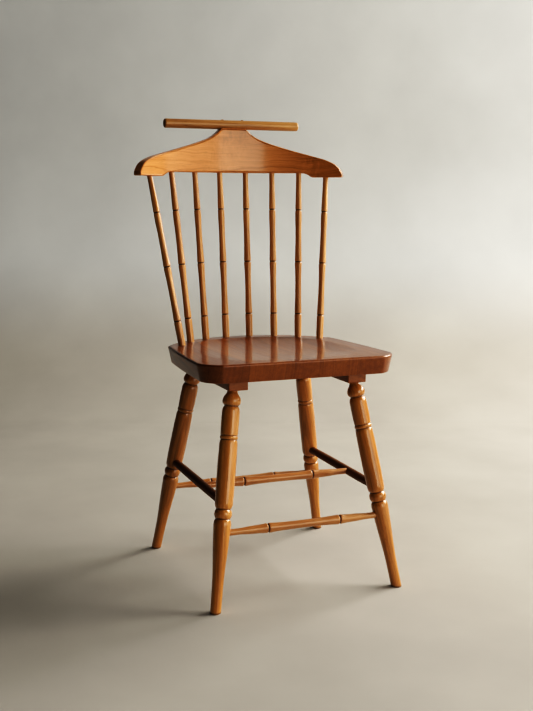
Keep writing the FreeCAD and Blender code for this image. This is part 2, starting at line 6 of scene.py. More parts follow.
import bpy
import numpy as np
from mathutils import Matrix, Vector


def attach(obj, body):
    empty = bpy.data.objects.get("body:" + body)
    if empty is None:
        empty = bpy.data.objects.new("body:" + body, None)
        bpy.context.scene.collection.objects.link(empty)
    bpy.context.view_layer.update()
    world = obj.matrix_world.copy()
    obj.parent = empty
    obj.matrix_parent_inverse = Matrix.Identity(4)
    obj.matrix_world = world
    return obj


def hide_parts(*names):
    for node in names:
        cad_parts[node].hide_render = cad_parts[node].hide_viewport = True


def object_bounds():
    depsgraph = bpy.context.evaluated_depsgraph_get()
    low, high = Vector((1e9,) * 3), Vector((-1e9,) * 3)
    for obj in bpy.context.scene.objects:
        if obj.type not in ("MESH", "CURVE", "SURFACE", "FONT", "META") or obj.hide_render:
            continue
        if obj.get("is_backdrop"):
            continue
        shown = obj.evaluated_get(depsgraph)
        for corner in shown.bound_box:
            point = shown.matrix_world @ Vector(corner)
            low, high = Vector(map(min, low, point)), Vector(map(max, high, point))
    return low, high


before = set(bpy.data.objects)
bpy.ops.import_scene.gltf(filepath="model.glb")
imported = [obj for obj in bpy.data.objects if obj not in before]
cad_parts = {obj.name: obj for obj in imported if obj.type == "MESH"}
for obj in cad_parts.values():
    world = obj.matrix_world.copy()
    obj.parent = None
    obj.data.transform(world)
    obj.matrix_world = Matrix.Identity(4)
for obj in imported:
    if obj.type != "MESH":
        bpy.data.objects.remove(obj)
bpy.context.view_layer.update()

MM = 0.001
UP = np.array([0.0, 0.0, 1.0])
# Turned profiles: how far thinning may cut a corner, its longest step, from what distance stations are joined
# smoothly, and (reach, weight) of the narrow and the wide bends that make the crease. The wide bend spreads
# the darkening of grooves as painted shade.
PROFILE_TOLERANCE, PROFILE_STEP, SMOOTH_FROM = 0.012, 5.0, 6
NARROW_BEND, WIDE_BEND = (0.8, 1.6), (2.2, 1.5)
END_GRAIN_DEPTH = 1.5

# Leg turning from the floor up: (along, radius, arc radius to the next station or 0).
LEG = [
    (-8, 10, 0), (39, 10.3, 0), (60, 10.7, 0), (80, 11.6, 0), (100, 13, 0), (120, 14.3, 0), (140, 15.4, 0),
    (158, 16.2, 20), (167, 15.1, 6), (170.2, 12.8, 0), (171.6, 14, 13.5), (187, 14, 0), (188.4, 13, 0),
    (190.2, 14.6, 22), (199, 16.6, 0), (215, 17, 0), (238, 17.25, 0), (268, 17.25, 0), (290, 17.1, 0),
    (305, 16.8, 30), (313, 15.8, 0), (314.8, 14.9, 0), (316, 15.8, 5), (321.6, 15.8, 0), (322.3, 15.2, 0),
    (324, 16, 0), (336, 16.4, 0), (352, 16.6, 0), (366, 16.4, 20), (374.2, 14.4, 0), (376.2, 12.5, 0),
    (378.4, 14.0, 9), (386.5, 17.0, 20), (397.0, 12.4, -10), (404.0, 9.6, 0), (446, 9.6, 0),
]
# Foot trimmed to the floor: its radius, how fast it slims, where the turning takes over, how high and how
# much it grows darker towards the floor, and rows of (inset, height).
FOOT_R, FOOT_FLARE, FOOT_END, FOOT_DARK_HEIGHT, FOOT_DARK = 10.05, 26.0, 14.0, 6.0, 0.16
FOOT_ROWS = ((5.0, 0.0), (1.6, 0.0), (0.5, 0.35), (0.0, 1.4), (0.0, 4.0), (0.0, 9.0))
LEG_TOP_Z = 393.2
LEG_ENDS = {
    "front": ((184.9, -208.8), (123.8, -134.8)),
    "back": ((189.9, 177.7), (121.2, 110.9)),
}
SIDE_Z = {"front": 193.0, "back": 196.0}
CROSS_Z, MEDIAL_Z, MEDIAL_Y = 139.5, 195.0, -53.0
CROSS_END_R, MEDIAL_END_R, SIDE_END_R, SIDE_MID_R = 5.9, 6.0, 8.0, 8.5
CROSS_RING_X, CROSS_NODE_R, CROSS_GROOVE_R, CROSS_MID_R = 72.8, 9.2, 7.3, 7.4
# How far short of the other part's axis a stretcher ends.
SIDE_SHORT, CROSS_SHORT, MEDIAL_SHORT = 8, 10, 4

SHOULDER = [
    (27, 888), (29, 886), (34, 881), (41, 875.3), (50.5, 869.2), (63, 863.6), (80, 857.6), (103.7, 850.6),
    (145, 839.2), (182, 829.7), (205, 822.8), (216, 818.2), (225, 813), (231.5, 807), (236.2, 800.5),
    (239.5, 794), (242, 787.5), (244, 781),
]
UNDERSIDE = [(152, 796), (158, 795.2), (164, 792.9), (169, 789.9), (174, 787)]
CREST_R, CREST_Y, CREST_THICK, CREST_HALF, CREST_EASE = 396.0, -186.3, 19.0, 239.8, 2.0
CREST_LOW, CREST_MID, CREST_CORNER, CREST_GRAIN_Z, CREST_GRID = 787.0, 796.0, 2.6, 835.0, (360, 30)
# Crest stain and painted light: (middle, reach) of its dark heart along and up the rail, how dark the heart
# is, how much painted shade each mm to the right and painted light each mm to the left add, and how dark the
# sawn ends are.
HEART_ALONG, HEART_UP = (12.0, 70.0), (45.0, 30.0)
CREST_TINT, HEART_DARK, PAINTED_SHADE_RIGHT, PAINTED_LIGHT_LEFT, END_DARK, END_REACH = 0.03, 0.28, 0.0011, 0.0003, 0.5, 1.6

HOLLOW = [
    (174, -2.6, 620), (160, -0.2, 650), (147, 2.8, 700), (123, 6.2, 820), (79, 8.4, 1060), (21, 8.8, 1250),
    (-39, 7.4, 1540), (-99, 4.8, 2150), (-140, 2.0, 3400), (-168, 0.2, 5200), (-188, -1.4, 6500),
]
SEAT_Z, SEAT_THICK, SEAT_EASE, SEAT_LOW_EASE = 450.0, 34.5, 3.5, 1.2
SEAT_TAPER = math.radians(12.0)
# Seat plan: half width of the front edge, clipped corner, back corner, and the radii that join them.
SEAT_FRONT, SEAT_CLIP, SEAT_BACK = (160.5, -190.0), (196.9, -147.0), (181.8, 91.5)
CLIP_R, SIDE_R, BACK_R = 60.0, 3000.0, 213.0
# Staves glued side by side: where the first starts, their width, and how much lighter each one is.
STAVE_START, STAVE_WIDTH, STAVE_SHADES = -182.0, 72.0, (-0.08, 0.10, 0.02, 0.06, -0.05, -0.08)
# The shift inside the log from stave to stave, in metres, and where across a stave its glue line begins and
# is full.
STAVE_JUMP, GLUE_LINE = (0.009 - STAVE_WIDTH * MM, 0.007, 0.61), (0.4965, 0.4985)
SEAT_CENTRE, SEAT_PITH, SEAT_POINTS = (0.0, -18.0), 95, 480
SPINDLE_SEAT = (10.2, 171.5, 17.85)
SPINDLE_CREST = (CREST_Y, CREST_R, 8.4)
SPINDLE_FOOT_R, SPINDLE_WAIST_R, SPINDLE_TIP_R = 7.2, 6.2, 5.5
SPINDLE_WAIST = [(0.18, 0.45), (0.38, 0.1), (0.62, 0.05), (0.84, 0.45)]
SPINDLE_RINGS = [(48.5, 7.5, 6.2), (160.0, 7.5, 6.2), (271.0, 6.8, 5.6)]
BAR_LENGTH, BAR_R, BAR_Y, BAR_Z, BAR_EASE = 298.0, 9.4, 209.2, 895.2, 3.6
PEG_X, PEG_R, PEG_PROUD, PEG_GRAIN_X = 22.0, 3.2, 1.4, 9
# Peg from below up: (height from its top, inset from its radius).
PEG_ROWS = ((-6.0, 0.0), (-1.6, 0.0), (-1.1, 0.12), (-0.6, 0.55), (-0.2, 1.3), (-0.03, 2.2))


# ---------------------------------------------------------------- curves
def smooth_run(xs, ys, at):
    """Shape-keeping cubic through points: never overshoots between two stations."""
    xs, ys = np.asarray(xs, float), np.asarray(ys, float)
    step = np.diff(xs)
    slope = np.diff(ys) / step
    tangent = np.zeros(len(xs))
    tangent[0], tangent[-1] = slope[0], slope[-1]
    for i in range(1, len(xs) - 1):
        if slope[i - 1] * slope[i] > 0:
            a, b = 2 * step[i] + step[i - 1], step[i] + 2 * step[i - 1]
            tangent[i] = (a + b) / (a / slope[i - 1] + b / slope[i])
    k = np.clip(np.searchsorted(xs, at, side="right") - 1, 0, len(step) - 1)
    t = (at - xs[k]) / step[k]
    return (
        ys[k] * (1 + 2 * t) * (1 - t) ** 2
        + tangent[k] * step[k] * t * (1 - t) ** 2
        + ys[k + 1] * t * t * (3 - 2 * t)
        + tangent[k + 1] * step[k] * t * t * (t - 1)
    )


def spline(points, count):
    """Smooth open curve through 2-D points, evenly spaced along its length."""
    pts = np.asarray(points, float)
    along = np.concatenate([[0], np.cumsum(np.hypot(*np.diff(pts, axis=0).T))])
    at = np.linspace(0, along[-1], count * 8)
    dense = np.column_stack([natural(along, pts[:, 0], at), natural(along, pts[:, 1], at)])
    return even(dense, count)


def natural(xs, ys, at):
    """Natural cubic spline through (xs, ys)."""
    xs, ys = np.asarray(xs, float), np.asarray(ys, float)
    n = len(xs)
    step = np.diff(xs)
    matrix, rhs = np.eye(n), np.zeros(n)
    for i in range(1, n - 1):
        matrix[i, i - 1: i + 2] = step[i - 1], 2 * (step[i - 1] + step[i]), step[i]
        rhs[i] = 6 * ((ys[i + 1] - ys[i]) / step[i] - (ys[i] - ys[i - 1]) / step[i - 1])
    bend = np.linalg.solve(matrix, rhs)
    k = np.clip(np.searchsorted(xs, at, side="right") - 1, 0, n - 2)
    a, b = xs[k + 1] - at, at - xs[k]
    return (
        (bend[k] * a ** 3 + bend[k + 1] * b ** 3) / (6 * step[k])
        + (ys[k] / step[k] - bend[k] * step[k] / 6) * a
        + (ys[k + 1] / step[k] - bend[k + 1] * step[k] / 6) * b
    )


def even(points, count):
    """The polyline through points, resampled to count points evenly spaced."""
    points = np.asarray(points, float)
    along = np.concatenate([[0], np.cumsum(np.linalg.norm(np.diff(points, axis=0), axis=1))])
    at = np.linspace(0, along[-1], count)
    return np.column_stack([np.interp(at, along, points[:, i]) for i in range(points.shape[1])])


def arc_between(a, b, radius, count, side=1):
    """Points from a to b along an arc that bulges to the right of a-b for side 1."""
    a, b = np.asarray(a, float), np.asarray(b, float)
    chord = b - a
    half = np.linalg.norm(chord) / 2
    along = chord / (2 * half)
    out = np.array([along[1], -along[0]]) * side
    rise = math.sqrt(radius ** 2 - half ** 2)
    x = np.linspace(-1, 1, count) * math.asin(half / radius)
    mid = (a + b) / 2
    return mid + np.outer(radius * np.sin(x), along) + np.outer(radius * np.cos(x) - rise, out)


def blur(values, sigma):
    """Gaussian smoothing of rows, with both ends held."""
    reach = max(1, int(4 * sigma))
    kernel = np.exp(-0.5 * (np.arange(-reach, reach + 1) / max(sigma, 1e-6)) ** 2)
    kernel /= kernel.sum()
    values = np.asarray(values, float)
    columns = values.reshape(len(values), -1)
    out = np.empty_like(columns)
    for i in range(columns.shape[1]):
        head = 2 * columns[0, i] - columns[reach:0:-1, i]
        tail = 2 * columns[-1, i] - columns[-2: -reach - 2: -1, i]
        out[:, i] = np.convolve(np.concatenate([head, columns[:, i], tail]), kernel, "valid")
    return out.reshape(values.shape)


def turning(stations, fine=0.35, soften=0.45):
    """Profile of a turned part: rows of (along, radius, crease).

    The crease runs from -1 in a groove to 1 on a ridge. A station is (along, radius, arc); its arc is the
    radius of the curve to the next station, negative where it is concave, or 0 for a smooth run.
    """
    pieces, run = [], []

    def close_run():
        if len(run) > 1:
            xs, ys = [p[0] for p in run], [p[1] for p in run]
            at = np.arange(xs[0], xs[-1], fine)
            pieces.append(np.column_stack([at, smooth_run(xs, ys, at)]))
        run.clear()

    for (s0, r0, arc), (s1, r1, _) in zip(stations, stations[1:]):
        count = max(3, int(math.hypot(s1 - s0, r1 - r0) / fine))
        if arc:
            close_run()
            pieces.append(arc_between((s0, r0), (s1, r1), abs(arc), count, -1 if arc > 0 else 1)[:-1])
        elif s1 - s0 > SMOOTH_FROM:
            if not run:
                run.append((s0, r0))
            run.append((s1, r1))
        else:
            close_run()
            pieces.append(np.column_stack([np.linspace(s0, s1, count), np.linspace(r0, r1, count)])[:-1])
    close_run()
    pieces.append(np.array([[stations[-1][0], stations[-1][1]]], float))
    raw = np.vstack(pieces)
    length = np.linalg.norm(np.diff(raw, axis=0), axis=1).sum()
    line = even(raw, int(length / fine) + 2)
    line = blur(line, soften / fine)
    heading = np.unwrap(np.arctan2(np.gradient(line[:, 1]), np.gradient(line[:, 0])))
    bend = -np.gradient(heading) / fine
    narrow, wide = (blur(bend, reach / fine) * weight for reach, weight in (NARROW_BEND, WIDE_BEND))
    crease = np.clip(narrow + wide, -1, 1)
    keep = thin(line, PROFILE_TOLERANCE, PROFILE_STEP)
    return np.column_stack([line, crease])[keep]


def thin(line, tolerance, longest):
    """Indices of a polyline's points that hold its shape within a tolerance."""
    keep = {0, len(line) - 1}
    stack = [(0, len(line) - 1)]
    while stack:
        a, b = stack.pop()
        if b - a < 2:
            continue
        chord = line[b] - line[a]
        size = np.linalg.norm(chord)
        away = line[a + 1: b, :2] - line[a, :2]
        gap = np.abs(away[:, 0] * chord[1] - away[:, 1] * chord[0])
        worst = int(np.argmax(gap)) + a + 1
        if gap.max() / size > tolerance:
            middle = worst
        elif size > longest:
            middle = (a + b) // 2
        else:
            continue
        keep.add(middle)
        stack += [(a, middle), (middle, b)]
    return sorted(keep)


# ---------------------------------------------------------------- meshes
def make_piece(name, verts, faces, grain, crease, tint, material, nodes):
    """Adds a mesh piece that rides on the frame and stands for CAD nodes. verts and grain are in mm."""
    mesh = bpy.data.meshes.new(name)
    mesh.from_pydata((np.asarray(verts) * MM).tolist(), [], faces)
    mesh.update()
    grain_data = mesh.attributes.new("grain", "FLOAT_VECTOR", "POINT")
    grain_data.data.foreach_set("vector", (np.asarray(grain) * MM).astype(np.float32).ravel())
    for label, values in (("crease", crease), ("tint", tint)):
        data = mesh.attributes.new(label, "FLOAT", "POINT")
        spread = np.broadcast_to(np.asarray(values, np.float32), (len(verts),))
        data.data.foreach_set("value", np.ascontiguousarray(spread))
    mesh.shade_smooth()
    mesh.materials.append(material)
    piece = bpy.data.objects.new(name, mesh)
    bpy.context.scene.collection.objects.link(piece)
    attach(piece, "root")
    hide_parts(*nodes)
    return piece


def axes_for(direction):
    """Two axes across a direction, and the direction itself, as unit vectors."""
    d = direction / np.linalg.norm(direction)
    u = np.cross(UP if abs(d[2]) < 0.9 else np.array([0.0, 1.0, 0.0]), d)
    u /= np.linalg.norm(u)
    return u, np.cross(d, u), d


def figure(local, seed, pith=(55, 95), lean=2.5):
    """Places a piece inside an imagined log, so that every piece shows different growth rings."""
    rng = random.Random(seed)
    turn = rng.uniform(0, math.tau)
    away = rng.uniform(*pith)
    tilt_x, tilt_y = (math.radians(rng.uniform(-lean, lean)) for _ in range(2))
    out = np.array(local, float)
    out[:, 0] += local[:, 2] * math.sin(tilt_x) + away * math.cos(turn)
    out[:, 1] += local[:, 2] * math.sin(tilt_y) + away * math.sin(turn)
    out[:, 2] += rng.uniform(-2000, 2000)
    return out


def ring_faces(rings, segments, first=0):
    """Quads between closed rings of vertices."""
    faces = []
    for i in range(rings - 1):
        row = first + i * segments
        for j in range(segments):
            k = (j + 1) % segments
            faces.append((row + j, row + k, row + segments + k, row + segments + j))
    return faces


def cap_faces(ring_start, segments, centre, flip):
    """Triangles from a ring to its centre vertex."""
    faces = []
    for j in range(segments):
        k = (j + 1) % segments
        a, b = ring_start + j, ring_start + k
        faces.append((b, a, centre) if flip else (a, b, centre))
    return faces


def turned(name, stations, base, tip, material, seed, segments=56, tint=0.0, ends=0.0, floor=False):
    """A turned part on the axis base-tip. With floor, its lower end is trimmed flat at z = 0.

    tint lightens or darkens the whole part, and ends does so at the end grain.
    """
    base, tip = np.asarray(base, float), np.asarray(tip, float)
    u, v, d = axes_for(tip - base)
    profile = turning(stations)
    angle = np.arange(segments) / segments * math.tau
    cos, sin = np.cos(angle), np.sin(angle)
    s = np.repeat(profile[:, :1], segments, axis=1)
    r = np.repeat(profile[:, 1:2], segments, axis=1)
    c = np.repeat(profile[:, 2:3], segments, axis=1)
    if floor:
        keep = profile[:, 0] > FOOT_END
        s, r, c = s[keep], r[keep], c[keep]
        rows = []
        for inset, lift in FOOT_ROWS:
            radius = FOOT_R - inset
            along = -radius * (cos * u[2] + sin * v[2]) / d[2] + lift * (1 - lift / FOOT_FLARE)
            # The foot grows darker towards the floor, carried by the crease into the groove darkening.
            floor_darkening = -FOOT_DARK * max(0.0, FOOT_DARK_HEIGHT - lift)
            rows.append((along, np.full(segments, radius), np.full(segments, floor_darkening)))
        s = np.vstack([np.array([row[0] for row in rows]), s])
        r = np.vstack([np.array([row[1] for row in rows]), r])
        c = np.vstack([np.array([row[2] for row in rows]), c])
    rings = len(s)
    local = np.stack([r * cos, r * sin, s], axis=2).reshape(-1, 3)
    local = np.vstack([local, [[0, 0, s[0].mean()], [0, 0, s[-1].mean()]]])
    crease = np.append(c.ravel(), [0, 0])
    faces = ring_faces(rings, segments)
    faces += cap_faces(0, segments, rings * segments, True)
    faces += cap_faces((rings - 1) * segments, segments, rings * segments + 1, False)
    world = base + local[:, :1] * u + local[:, 1:2] * v + local[:, 2:] * d
    along = local[:, 2] - local[:, 2].min()
    cut = np.clip(1 - np.minimum(along, along.max() - along) / END_GRAIN_DEPTH, 0, 1)
    grain = figure(local, seed)
    return make_piece(name, world, faces, grain, crease, tint + ends * cut, material, [name])


# ---------------------------------------------------------------- materials
# Noise scale, in features per metre, of each part of the wood's figure.
BAND_SCALE, LATE_SCALE, FIBRE_SCALE = 210.0, 330.0, 560.0
STREAK_SCALE, STAIN_SCALE, PORE_SCALE = 120.0, 16.0, 1250.0
LACQUER_IOR, WARM_SHEEN = 1.5, (1.0, 0.72, 0.45, 1)


class Tree:
    """Short calls for building a node material."""

    def __init__(self, name):
        self.material = bpy.data.materials.new(name)
        self.material.use_nodes = True
        self.nodes = self.material.node_tree.nodes
        self.links = self.material.node_tree.links
        self.shader = self.nodes["Principled BSDF"]

    def add(self, kind, **settings):
        node = self.nodes.new(kind)
        for key, value in settings.items():
            setattr(node, key, value)
        return node

    def join(self, target, source):
        if hasattr(source, "is_linked") or hasattr(source, "links"):
            self.links.new(source, target)
        else:
            target.default_value = source

    def maths(self, operation, a, b=0.0, c=0.0, clamp=False):
        node = self.add("ShaderNodeMath", operation=operation, use_clamp=clamp)
        for socket, value in zip(node.inputs, (a, b, c)):
            self.join(socket, value)
        return node.outputs[0]

    def vector(self, operation, a, b=(0, 0, 0), scale=None):
        node = self.add("ShaderNodeVectorMath", operation=operation)
        self.join(node.inputs[0], a)
        if operation != "LENGTH":
            self.join(node.inputs[1], b)
        if scale is not None:
            self.join(node.inputs["Scale"], scale)
        return node.outputs["Value"] if operation == "LENGTH" else node.outputs[0]

    def noise(self, vector, scale, detail=2.0, rough=0.5, distortion=0.0):
        node = self.add("ShaderNodeTexNoise")
        self.join(node.inputs["Vector"], vector)
        node.inputs["Scale"].default_value = scale
        node.inputs["Detail"].default_value = detail
        node.inputs["Roughness"].default_value = rough
        node.inputs["Distortion"].default_value = distortion
        return node.outputs["Fac"]

    def remap(self, value, low, high, to_low=0.0, to_high=1.0):
        node = self.add("ShaderNodeMapRange", interpolation_type="SMOOTHSTEP")
        for socket, item in zip(node.inputs, (value, low, high, to_low, to_high)):
            self.join(socket, item)
        return node.outputs[0]

    def ramp(self, value, stops, interpolation="LINEAR"):
        node = self.add("ShaderNodeValToRGB")
        ramp = node.color_ramp
        ramp.interpolation = interpolation
        while len(ramp.elements) < len(stops):
            ramp.elements.new(0.5)
        for element, (place, colour) in zip(ramp.elements, stops):
            element.position = place
            element.color = (*colour, 1)
        self.join(node.inputs[0], value)
        return node.outputs[0]

    def split(self, vector, axis):
        node = self.add("ShaderNodeSeparateXYZ")
        self.join(node.inputs[0], vector)
        return node.outputs[axis]

    def staves(self, place):
        """Cuts a glued-up plank into staves by object X: grain coordinates, lightness and glue lines."""
        across = self.split(self.add("ShaderNodeTexCoord").outputs["Object"], 0)
        row = self.maths("DIVIDE", self.maths("SUBTRACT", across, STAVE_START * MM), STAVE_WIDTH * MM)
        number = self.maths("FLOOR", row)
        count = len(STAVE_SHADES)
        stops = [(i / count, (shade + 0.5,) * 3) for i, shade in enumerate(STAVE_SHADES)]
        shade = self.ramp(self.maths("DIVIDE", row, count), stops, "CONSTANT")
        tint = self.maths("SUBTRACT", shade, 0.5)
        jump = self.vector("SCALE", STAVE_JUMP, scale=number)
        near = self.maths("ABSOLUTE", self.maths("SUBTRACT", self.maths("FRACT", row), 0.5))
        return self.vector("ADD", place, jump), tint, self.remap(near, *GLUE_LINE)

    def blend(self, amount, a, b):
        node = self.add("ShaderNodeMix", data_type="RGBA")
        self.join(node.inputs[0], amount)
        for socket, value in ((node.inputs[6], a), (node.inputs[7], b)):
            self.join(socket, value if hasattr(value, "links") else (*value, 1))
        return node.outputs[2]


def wood(name, dark, mid, light, rough=0.42, coat=0.8, coat_rough=0.13, layers=0.55, ring=0.08, fibre=0.30,
         blotch=0.35, streak=0.45, wave=(6.0, 0.022), curl=0.0, wear=0.35, groove=(-0.08, -0.55, 0.6),
         cad_turn=None, staves=False):
    """Stained, lacquered wood. Its grain runs along the third axis of the piece's grain coordinates.

    layers, ring, fibre, streak, blotch and curl weigh the parts of the figure, and wave bends it; groove is
    (crease where it starts, crease where it is full, darkness) of the stain and painted shade in grooves;
    wear lightens the ridges.
    """
    tree = Tree(name)
    if cad_turn is None:
        place = tree.add("ShaderNodeAttribute", attribute_name="grain").outputs["Vector"]
        crease = tree.add("ShaderNodeAttribute", attribute_name="crease").outputs["Fac"]
        tint = tree.add("ShaderNodeAttribute", attribute_name="tint").outputs["Fac"]
    else:
        mapping = tree.add("ShaderNodeMapping")
        mapping.inputs["Rotation"].default_value = cad_turn
        mapping.inputs["Location"].default_value = (0.031, 0.074, 0.4)
        tree.join(mapping.inputs["Vector"], tree.add("ShaderNodeTexCoord").outputs["Object"])
        place, crease, tint = mapping.outputs[0], 0.0, 0.0
    glue = None
    if staves:
        place, tint, glue = tree.staves(place)

    def centred(value, weight):
        return tree.maths("MULTIPLY", tree.maths("SUBTRACT", value, 0.5), weight)

    wobble = tree.add("ShaderNodeTexNoise")
    wobble.inputs["Scale"].default_value = wave[0]
    wobble.inputs["Detail"].default_value = 2.5
    tree.join(wobble.inputs["Vector"], tree.vector("MULTIPLY", place, (1.0, 1.0, 0.6)))
    shift = tree.vector("SUBTRACT", wobble.outputs["Color"], (0.5, 0.5, 0.5))
    bent = tree.vector("ADD", place, tree.vector("MULTIPLY", shift, (wave[1], wave[1], 0.0)))

    # growth layers are uneven bands round the pith; the late wood of some years is a thin dark line
    radius = tree.vector("LENGTH", tree.vector("MULTIPLY", bent, (1.0, 1.0, 0.0)))
    layer = tree.add("ShaderNodeCombineXYZ")
    tree.join(layer.inputs[0], radius)
    tree.join(layer.inputs[2], tree.maths("MULTIPLY", tree.split(bent, 2), 0.012))
    bands = tree.noise(layer.outputs[0], BAND_SCALE, 3.0, 0.62)
    late = tree.remap(tree.noise(layer.outputs[0], LATE_SCALE, 1.0), 0.56, 0.66)
    fibres = tree.noise(tree.vector("MULTIPLY", bent, (1, 1, 0.03)), FIBRE_SCALE, 3.0, 0.6)
    streaks = tree.noise(tree.vector("MULTIPLY", bent, (1, 1, 0.05)), STREAK_SCALE, 3.0, 0.6)
    stain = tree.noise(tree.vector("MULTIPLY", place, (1, 1, 0.35)), STAIN_SCALE, 3.0, 0.55)
    dots = tree.noise(tree.vector("MULTIPLY", place, (1, 1, 0.045)), PORE_SCALE, 1.0)
    pores = tree.remap(dots, 0.64, 0.74)

    tone = tree.maths("ADD", tint, 0.5)
    parts = ((bands, layers), (late, -ring), (fibres, fibre), (streaks, streak), (stain, blotch))
    for value, weight in parts:
        tone = tree.maths("ADD", tone, centred(value, weight))
    tone = tree.maths("ADD", tone, 0.4 * ring)
    if curl:
        ripple = tree.noise(tree.vector("MULTIPLY", bent, (0.25, 0.45, 1.0)), 110.0, 2.0, 0.5, 0.8)
        where = tree.remap(tree.noise(place, 11.0, 1.0), 0.42, 0.62)
        tone = tree.maths("ADD", tone, tree.maths("MULTIPLY", where, centred(ripple, curl)))
    colour = tree.ramp(tone, [(0.12, dark), (0.5, mid), (0.9, light)])
    colour = tree.blend(tree.maths("MULTIPLY", pores, 0.45), colour, tuple(c * 0.45 for c in dark))

    # Grooves go dark: partly stain and dark ring lines, partly painted shade where a groove would lie in
    # shadow.
    groove_stain_and_shade = tree.maths("MULTIPLY", tree.remap(crease, groove[0], groove[1]), groove[2])
    ridge = tree.remap(crease, 0.25, 0.95)
    patch = tree.remap(tree.noise(place, 140.0, 3.0, 0.65), 0.42, 0.66)
    colour = tree.blend(groove_stain_and_shade, colour, tuple(c * 0.10 for c in dark))
    worn = tree.maths("MULTIPLY", ridge, tree.maths("MULTIPLY", patch, wear))
    colour = tree.blend(worn, colour, tuple(min(1.0, c * 1.15) for c in light))
    if glue is not None:
        colour = tree.blend(tree.maths("MULTIPLY", glue, 0.7), colour, tuple(c * 0.3 for c in dark))
    tree.join(tree.shader.inputs["Base Color"], colour)

    gloss = tree.maths("ADD", rough, centred(fibres, 0.16))
    gloss = tree.maths("ADD", gloss, centred(stain, 0.12))
    gloss = tree.maths("ADD", gloss, tree.maths("MULTIPLY", worn, 0.2), clamp=True)
    tree.join(tree.shader.inputs["Roughness"], gloss)

    relief = tree.maths("MULTIPLY", fibres, 0.35)
    relief = tree.maths("SUBTRACT", relief, tree.maths("MULTIPLY", pores, 0.5))
    relief = tree.maths("SUBTRACT", relief, tree.maths("MULTIPLY", late, 0.25))
    relief = tree.maths("ADD", relief, tree.maths("MULTIPLY", tree.noise(place, 45.0, 2.0), 1.1))
    bump = tree.add("ShaderNodeBump")
    bump.inputs["Strength"].default_value = 0.35
    bump.inputs["Distance"].default_value = 0.0002
    tree.join(bump.inputs["Height"], relief)
    tree.join(tree.shader.inputs["Normal"], bump.outputs[0])
    tree.shader.inputs["IOR"].default_value = LACQUER_IOR
    tree.shader.inputs["Specular Tint"].default_value = WARM_SHEEN
    tree.shader.inputs["Coat Weight"].default_value = coat
    tree.shader.inputs["Coat Roughness"].default_value = coat_rough
    tree.shader.inputs["Coat IOR"].default_value = LACQUER_IOR
    return tree.material


def steel(name):
    """Zinc-plated screw steel with a turned sheen."""
    tree = Tree(name)
    place = tree.add("ShaderNodeTexCoord").outputs["Object"]
    scratches = tree.noise(tree.vector("MULTIPLY", place, (1, 1, 0.1)), 1800.0, 3.0)
    cloud = tree.noise(place, 220.0, 2.0)
    colour = tree.ramp(cloud, [(0.3, (0.36, 0.35, 0.33)), (0.7, (0.56, 0.55, 0.53))])
    tree.join(tree.shader.inputs["Base Color"], colour)
    tree.join(tree.shader.inputs["Roughness"], tree.remap(scratches, 0.3, 0.7, 0.28, 0.5))
    tree.shader.inputs["Metallic"].default_value = 1.0
    return tree.material


leg_wood = wood("leg_wood", (0.215, 0.084, 0.014), (0.480, 0.198, 0.040), (0.730, 0.362, 0.105),
                coat=0.95, coat_rough=0.13, blotch=0.55, streak=0.55)
stretcher_wood = wood("stretcher_wood", (0.220, 0.085, 0.022), (0.450, 0.200, 0.062), (0.680, 0.370, 0.145),
                      coat=0.9, coat_rough=0.22, layers=0.3, streak=0.3, blotch=0.7,
                      groove=(-0.06, -0.4, 0.99))
# Darker, duller copy of the stretcher wood: painted shade for the side stretchers, which lie in the seat's
# shadow.
shaded_side_wood = wood("shaded_side_wood", (0.08, 0.023, 0.004), (0.18, 0.060, 0.011), (0.32, 0.120, 0.028),
                 rough=0.6, coat=0.05, coat_rough=0.25)
spindle_wood = wood("spindle_wood", (0.165, 0.064, 0.014), (0.430, 0.190, 0.050), (0.700, 0.370, 0.130),
                    layers=0.8, streak=0.7, groove=(0.02, -0.24, 0.97))
bar_wood = wood("bar_wood", (0.160, 0.066, 0.018), (0.405, 0.200, 0.062), (0.610, 0.345, 0.130),
                blotch=0.7, layers=0.9, coat=0.5, coat_rough=0.2)
crest_wood = wood("crest_wood", (0.235, 0.092, 0.012), (0.485, 0.190, 0.042), (0.71, 0.316, 0.102),
                  layers=0.42, ring=0.17, fibre=0.25, curl=0.6, blotch=0.2, wave=(13.0, 0.026))
seat_wood = wood("seat_wood", (0.070, 0.016, 0.002), (0.175, 0.046, 0.006), (0.300, 0.100, 0.015),
                 coat=0.55, coat_rough=0.09, layers=0.35, ring=0.10, wear=0.15, staves=True)
cleat_wood = wood("cleat_wood", (0.12, 0.032, 0.007), (0.23, 0.072, 0.015), (0.36, 0.130, 0.030),
                  coat=0.3, coat_rough=0.3, cad_turn=(math.radians(90), 0, 0))
screw_steel = steel("screw_steel")


# ---------------------------------------------------------------- legs
def leg_line(row, sign):
    (fx, fy), (tx, ty) = LEG_ENDS[row]
    return np.array([sign * fx, fy, 0.0]), np.array([sign * tx, ty, LEG_TOP_Z])


def leg_at(row, sign, height):
    foot, top = leg_line(row, sign)
    return foot + (top - foot) * height / LEG_TOP_Z


SIDES = (("left", -1), ("right", 1))
LEG_TINT = (0.03, -0.10, -0.22, -0.08)
CORNERS = [(row, side, sign) for row in ("front", "back") for side, sign in SIDES]
for seed, ((row, side, sign), tint) in enumerate(zip(CORNERS, LEG_TINT), 11):
    foot, top = leg_line(row, sign)
    turned("leg_%s_%s" % (row, side), LEG, foot, top, leg_wood, seed,
           segments=72, tint=tint, floor=True)


# ---------------------------------------------------------------- stretchers
def mirrored(side):
    return [(-s, r, 0) for s, r in side] + [(s, r, 0) for s, r in reversed(side)]


